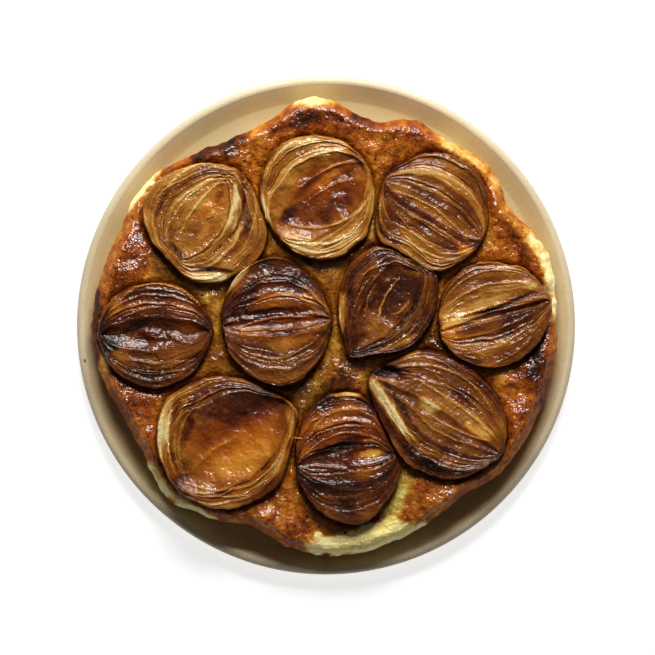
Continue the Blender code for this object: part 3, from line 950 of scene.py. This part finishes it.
# %% [markdown]
# ## The pastry
# One round of puff pastry, pressed over the onions raw, rose wherever nothing held it down: it
# hugs each half, stands up between them and rolls over at the edge. Where it touched the
# caramel it is dark, glossy and blistered; where it did not, it stayed golden or pale.

# %% Pastry outline
def pastry_edge():
    """The pastry's reach at each bearing, from the frame's solid."""
    points = read_points(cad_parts["pastry"])
    bearing = np.arctan2(points[:, 1], points[:, 0])
    radius = np.hypot(points[:, 0], points[:, 1])
    count = 72
    sector = np.round(bearing / math.tau * count).astype(int) % count
    reach = np.array([radius[sector == k].max() for k in range(count)])
    angles = np.arange(count) * math.tau / count
    angles = np.where(angles > math.pi, angles - math.tau, angles)
    order = np.argsort(angles)
    return angles[order], reach[order]


EDGE_ANGLES, EDGE_REACH = pastry_edge()
print("pastry reaches", np.round(EDGE_REACH.min() / MM, 1), "to", np.round(EDGE_REACH.max() / MM, 1))

# %% Pastry
# Heights are in millimetres. The crest is the risen ridge near the edge.
PASTRY_SEGMENTS = 600
PASTRY_RINGS = 164
PASTRY_BASE = 5.9
FLOOR = 27.0
CREST = 28.5
CREST_SHARE = 0.945
PLATE_WALL_GAP = 1.0
POCKET_FLOOR = 11.5
# Where the edge hangs lower: (bearing, half width in degrees, drop).
LOW_LOBES = ((12, 14, 5.0), (47, 10, 3.5), (143, 11, 4.5), (229, 9, 9.0), (278, 19, 3.5))
# Where the dough swelled up: (x, y, half length, half width, angle, height).
PASTRY_SWELLS = (
    (-27, -106, 18, 6, -22, 2.4), (66, -93, 16, 5, 24, 2.0), (-109, -44, 18, 6, -62, 1.6),
    (30, 104, 16, 6, -24, 1.2), (-46, 103, 22, 4, 26, 1.0), (112, -34, 14, 4, 70, 1.2),
    (20, -113, 24, 5, 8, 1.2),
)


def lobe(bearing, middle, half_width):
    """1 at a bearing's middle, falling smoothly to 0 beyond its half width."""
    away = np.abs((bearing - middle + 180) % 360 - 180)
    return smooth_step(1.5 - away / half_width)


def wall_reach(height):
    """The plate's inner wall at a height, in millimetres."""
    up = np.clip((height - WELL_HEIGHT / MM) / (WALL_RISE / MM), 0, 5)
    return WELL_RADIUS / MM + WALL_RUN / MM * up ** (1 / WALL_CURVE)


def onion_nearness(x, y):
    """Millimetres from each point to the nearest half's rim, negative inside it."""
    nearest = np.full(x.shape, 1e3)
    for middle, _, bearings, radii in RIMS.values():
        dx, dy = x - middle[0] / MM, y - middle[1] / MM
        reach = smooth_round(radii, bearings, np.arctan2(dy, dx)) / MM
        nearest = np.minimum(nearest, np.hypot(dx, dy) - reach)
    return nearest


pastry, share, azimuth = fresh_sphere("puff_pastry", PASTRY_SEGMENTS, PASTRY_RINGS)
bearing = np.degrees(azimuth) % 360
reach = smooth_round(EDGE_REACH, EDGE_ANGLES, azimuth) / MM
reach = reach + 0.6 * round_noise(azimuth, 14, 900) + 0.5 * round_noise(azimuth, 40, 901) - 0.4
TOP_END, SIDE_END = 0.66, 0.95  # shares of the ball's rings that become the top and the side
on_top = share <= TOP_END
down = np.clip((share - TOP_END) / (SIDE_END - TOP_END), 0, 1)
turn_down = down * math.pi
q = np.where(on_top, CREST_SHARE * (share / TOP_END) ** 0.8, CREST_SHARE)
belly = np.where(
    down < 0.5,
    CREST_SHARE + (1 - CREST_SHARE) * np.sin(turn_down),
    1 - 0.045 * (1 - np.sin(turn_down)),
)
x = np.where(on_top, q, belly) * reach * np.cos(azimuth)
y = np.where(on_top, q, belly) * reach * np.sin(azimuth)
crest = CREST - sum(drop * lobe(bearing, at, wide) for at, wide, drop in LOW_LOBES)
crest = crest + 0.9 * round_noise(azimuth, 4, 910, 1.0)
rise = smooth_step(q, 0.66, CREST_SHARE)
gap = onion_nearness(x, y)
swell = 0.8 * (1 - np.exp(-np.maximum(gap, 0) / 4)) - 1.6 * np.exp(-((gap / 1.6) ** 2))
swell = swell + 1.0 * cloud(x / 13, y / 13, 0.3, 920, 2) + 0.5 * noise(x / 5, y / 5, 0.7, 925)
blister = 0.30 * noise(x / 2.4, y / 2.4, 0.7, 930) + 0.12 * noise(x / 1.1, y / 1.1, 0.7, 935)
blister = blister * smooth_step(noise(x / 14, y / 14, 0.2, 937), -0.5, 0.6)
for *patch, lift in PASTRY_SWELLS:
    mound = np.exp(-(patch_distance(x, y, *patch) ** 2) * 1.4)
    swell = swell + lift * mound * np.cos(down * math.pi / 2)
top = FLOOR + (crest - FLOOR) * rise + swell + blister
pocket = 1 - smooth_step(gap, -2.2, -0.2)
top = top - pocket * (top - POCKET_FLOOR)
half_way = PASTRY_BASE + (crest - PASTRY_BASE) * 0.45
over = crest + swell + blister
side_height = np.where(
    down < 0.5,
    half_way + (over - half_way) * np.cos(turn_down),
    half_way + (half_way - PASTRY_BASE) * np.cos(turn_down),
)
leaf = noise(side_height / 1.1, np.cos(azimuth) * 9, np.sin(azimuth) * 9, 940)
leaf = leaf + 0.6 * noise(side_height / 0.55, np.cos(azimuth) * 22, np.sin(azimuth) * 22, 950)
side_radius = reach * belly + 0.5 * leaf * np.sin(turn_down) ** 2
side_radius = np.minimum(side_radius, wall_reach(side_height) - PLATE_WALL_GAP)
under = share > SIDE_END
foot = np.clip((1 - share) / (1 - SIDE_END), 0, 1)
radius = np.where(on_top, q * reach, np.where(under, side_radius * foot, side_radius))
height = np.where(on_top, top, np.where(under, PASTRY_BASE, side_height))
points = np.stack([radius * np.cos(azimuth), radius * np.sin(azimuth), height], axis=1)
write_points(pastry, points * MM)
pastry.data.shade_smooth()
print(pastry.name, len(pastry.data.polygons), "faces")

# %% [markdown]
# Baking is uneven: caramel pooled and burnt in some places, and where the dough was lifted off
# the pan it stayed golden, or even pale and wet. Each such place is one soft patch, and a few dark
# patches in the deep gaps between the halves are painted shade.

# %% How the pastry baked
# (x, y, half length, half width, angle, amount) in millimetres and degrees. Baking darkens, or
# with a minus sign lightens, and the dark patches at (57, -12), (7, -36) and (25, 42), in the gaps
# between the halves, are painted shade; soaked dough drank the juice.
BAKE_AND_SHADE_MARKS = (
    (-7, 121, 12, 3.5, 0, -0.42), (20, 111, 12, 6, -30, 0.3), (-14, 110, 22, 6, 8, 0.12),
    (-57, 97, 18, 7, 28, 0.36), (33, 97, 16, 8, -20, -0.06), (70, 95, 18, 3.5, -38, -0.24),
    (93, 75, 16, 4, -58, -0.18), (112, 44, 9, 4, -62, -0.36), (121, 28, 16, 4, -78, -0.46),
    (124, 10, 8, 2.5, -88, -0.4), (106, 36, 14, 5, -60, 0.1), (115, -16, 26, 7, 90, 0.26),
    (106, -28, 10, 7, 60, 0.06), (114, -44, 16, 5, 68, 0.04), (96, -72, 16, 6, 45, -0.05),
    (68, -92, 20, 8, 28, 0.04), (38, -94, 20, 6, 68, -0.34), (24, -115, 34, 8, 10, -0.9),
    (-3, -118, 10, 6, -10, -0.4), (6, -124, 12, 2.2, 0, 0.42), (-29, -106, 20, 6, -28, -0.06),
    (-27, -99, 16, 5, -20, -0.02), (-74, -99, 22, 5, -32, -0.5), (-92, -82, 14, 4, -52, -0.45),
    (-84, -94, 5, 3, -35, 0.45), (-106, -42, 22, 10, -62, 0.06), (-123, 0, 24, 3, 90, 0.28),
    (-120, -14, 14, 3, -80, -0.2), (-108, 34, 18, 8, 66, 0.1), (-102, 71, 26, 3.6, 50, -0.52),
    # (57, -12), (7, -36) and (25, 42) are painted shade in the gaps between the halves
    (-80, 96, 18, 3, 30, -0.2), (57, -12, 9, 6, 40, 0.34), (7, -36, 16, 9, 80, 0.26),
    (25, 42, 9, 5, -20, 0.34), (-66, 22, 10, 8, 0, -0.12), (-12, -37, 8, 6, 0, 0.04),
    (22, -28, 5, 4, 0, -0.2),
)
SOAK_MARKS = (
    (38, -94, 20, 6, 68, 1.0), (24, -114, 30, 7, 10, 0.45), (-78, 30, 20, 14, 0, 1.0),
    (-10, -38, 14, 10, 0, 0.6), (-4, 37, 14, 6, 0, 1.0), (28, -40, 12, 4, -60, 1.0),
)
x, y = points[:, 0], points[:, 1]
bake_and_shade = 0.50 + 0.10 * cloud(x / 12, y / 12, 0.9, 960, 3) + 0.07 * noise(x / 3, y / 3, 0.2, 970)
bake_and_shade = bake_and_shade + 0.10 * smooth_step(radius / reach, 0.80, 0.93) * on_top
soak = 0.55 * (1 - smooth_step(radius / reach, 0.55, 0.78)) * on_top
ragged = 1 + 0.30 * cloud(x / 4, y / 4, 2.2, 975, 2)


def marked(rows):
    """All patches of one kind, added up."""
    total = np.zeros(x.shape)
    for *patch, amount in rows:
        total += amount * (1 - smooth_step(patch_distance(x, y, *patch) * ragged, 0.4, 1.3))
    return total


bake_and_shade = bake_and_shade + marked(BAKE_AND_SHADE_MARKS)
soak = soak + marked(SOAK_MARKS)
bake_and_shade = bake_and_shade - 0.12 * smooth_step(down, 0.30, 0.60)
gloss = (1 - smooth_step(down, 0.05, 0.30)) * smooth_step(bake_and_shade, 0.15, 0.45)
gloss = gloss * (1 - 0.9 * smooth_step(bake_and_shade, 0.84, 1.0))
paint(pastry, "bake_and_shade", np.clip(bake_and_shade, 0, 1))
paint(pastry, "soak", np.clip(soak, 0, 1) * (down < 0.3))
paint(pastry, "gloss", gloss)

# %% [markdown]
# The crust is matte where it is pale and dry, and lacquered with caramel where it baked brown:
# blistered, freckled with burnt sugar and as shiny as the syrup on the onions.

# %% Baked pastry
crust = new_material("caramelised_puff_pastry")
place = node(crust, "TexCoord").outputs["Object"]
gloss = painted(crust, "gloss")
shifted = calculate(crust, "MULTIPLY_ADD", texture(crust, place, 300.0, 4.0), 0.56, -0.28)
freckles = ramp(crust, texture(crust, place, 800.0, 2.0), ((0.60, "#000000"), (0.68, "#ffffff")))
freckled = calculate(crust, "MULTIPLY", freckles, gloss)
speckled = calculate(crust, "MULTIPLY_ADD", freckled, 0.32, shifted)
toned = calculate(crust, "ADD", painted(crust, "bake_and_shade"), speckled)
browns = ramp(
    crust,
    toned,
    (
        (0.00, "#fff0b0"), (0.18, "#ecc272"), (0.34, "#c8862e"), (0.48, "#a85c12"),
        (0.62, "#863e08"), (0.78, "#4f1d04"), (0.92, "#2a0c02"), (1.00, "#150602"),
    ),
)
juicy = ramp(
    crust,
    toned,
    ((0.0, "#f4de7c"), (0.25, "#b08a30"), (0.55, "#74480c"), (0.8, "#321402"), (1.0, "#140501")),
)
blistered = bumpy(crust, texture(crust, place, 460.0, 2.5), 0.7, 0.0014)
finish_material(
    crust,
    Base_Color=mix(crust, painted(crust, "soak"), browns, juicy),
    Roughness=calculate(crust, "MULTIPLY_ADD", gloss, -0.25, 0.65),
    IOR=1.45,
    Specular_IOR_Level=0.12,
    Coat_Weight=calculate(crust, "MULTIPLY", gloss, lying_flat(crust, 0.5, 0.85)),
    Coat_Roughness=0.06,
    Normal=blistered,
    Coat_Normal=blistered,
)
pastry.data.materials.append(crust)
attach(pastry, "root")
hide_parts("pastry")

# %% [markdown]
# ## Crumbs and specks
# A few loose bits lie on top: a burnt crumb of sugar, flecks of onion skin and dark specks that
# came off the pan. Each is a small ball squeezed out of round; the dark specks are joined into
# one piece.

# %% Crumbs and specks
# The points a crumb can lie on, in millimetres, and how near one must be: the plate has few.
SURFACES = [(read_points(plate) / MM, 3.0)]
SURFACES += [(read_points(thing) / MM, 1.4) for thing in [pastry] + halves]


def surface_height(px, py):
    """The height of the tart's or plate's surface at a spot, all in millimetres."""
    highest = 0.0
    for points, near in SURFACES:
        heights = points[np.hypot(points[:, 0] - px, points[:, 1] - py) < near, 2]
        highest = max(highest, heights.max(initial=0.0))
    return highest


def crumb(name, px, py, size, spin, seed):
    """A lumpy crumb of a size in millimetres, half sunk in what lies under it."""
    bpy.ops.object.select_all(action="DESELECT")
    bpy.ops.mesh.primitive_ico_sphere_add(subdivisions=3, radius=0.5)
    thing = bpy.context.object
    thing.name = thing.data.name = name
    points = read_points(thing)
    lumps = 1 + 0.30 * noise(points[:, 0] * 3, points[:, 1] * 3, points[:, 2] * 3, seed)
    write_points(thing, points * lumps[:, None] * np.array(size) * MM)
    bpy.ops.transform.rotate(value=math.radians(spin), orient_axis="Z", center_override=(0, 0, 0))
    height = surface_height(px, py) + size[2] * 0.1
    thing.location = (px * MM, py * MM, height * MM)
    bpy.ops.object.transform_apply(location=True, rotation=True, scale=True)
    thing.data.shade_smooth()
    return thing


def crumb_material(name, code, roughness):
    """A plain dry crumb's surface; sugar and dried onion have an IOR near 1.45."""
    material = new_material(name)
    finish_material(material, Base_Color=linear(code), Roughness=roughness, IOR=1.45)
    return material


burnt = crumb_material("burnt_sugar", "#0d0705", 0.35)
skin = crumb_material("browned_onion_skin", "#8a5426", 0.5)
orange = crumb_material("dried_onion_thread", "#c2660e", 0.5)
# name, x, y, size, spin, material
CRUMBS = (
    ("burnt_crumb", -9, 34, (3.8, 3.2, 1.8), 20, burnt),
    ("skin_crumb", -113, 32, (3.2, 2.2, 1.6), 40, skin),
    ("rim_fleck", -130.5, -19, (2.0, 1.0, 0.5), 70, skin),
    ("orange_thread", -15, -60.5, (5.0, 0.9, 0.8), 8, orange),
)
for number, (name, px, py, size, spin, material) in enumerate(CRUMBS):
    bit = crumb(name, px, py, size, spin, 3000 + number)
    bit.data.materials.append(material)
    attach(bit, "root")

SPECK_TRIES = 110  # fewer come to lie, because none is put on an onion
chances = corner_value(np.arange(SPECK_TRIES)[:, None], np.arange(4), np.int64(1), 3100)
specks = []
for number, (turn, near, far, wide) in enumerate(chances):
    around = turn * math.pi
    out = 60 + 30 * abs(near) + 24 * abs(far)
    across = 0.5 + 0.9 * wide**2
    px, py = out * math.cos(around), out * math.sin(around)
    if onion_nearness(np.array([px]), np.array([py]))[0] >= 1.0:
        size = (across * 1.3, across, 0.6)
        specks.append(crumb("speck", px, py, size, 37 * number, 3200 + number))
bpy.ops.object.select_all(action="DESELECT")
for speck in specks:
    speck.select_set(True)
bpy.context.view_layer.objects.active = specks[0]
bpy.ops.object.join()
specks[0].name = specks[0].data.name = "pan_specks"
specks[0].data.materials.append(burnt)
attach(specks[0], "root")
print("specks", len(specks[0].data.polygons), "faces")

# %% [markdown]
# ## The floor
# A plain white light table: it glows a little, so shadows on it stay pale and soft.

# %% Floor
bpy.ops.object.select_all(action="DESELECT")
FLOOR_SIZE = 6.0
bpy.ops.mesh.primitive_plane_add(size=FLOOR_SIZE, location=(0, 0, 0))
floor = bpy.context.object
floor.name = "floor"
light_table = new_material("white_light_table")
finish_material(
    light_table,
    Base_Color=linear("#b4b3b2"),
    Roughness=0.9,
    Emission_Color=(1.0, 1.0, 1.0, 1),
    Emission_Strength=0.74,
)
floor.data.materials.append(light_table)
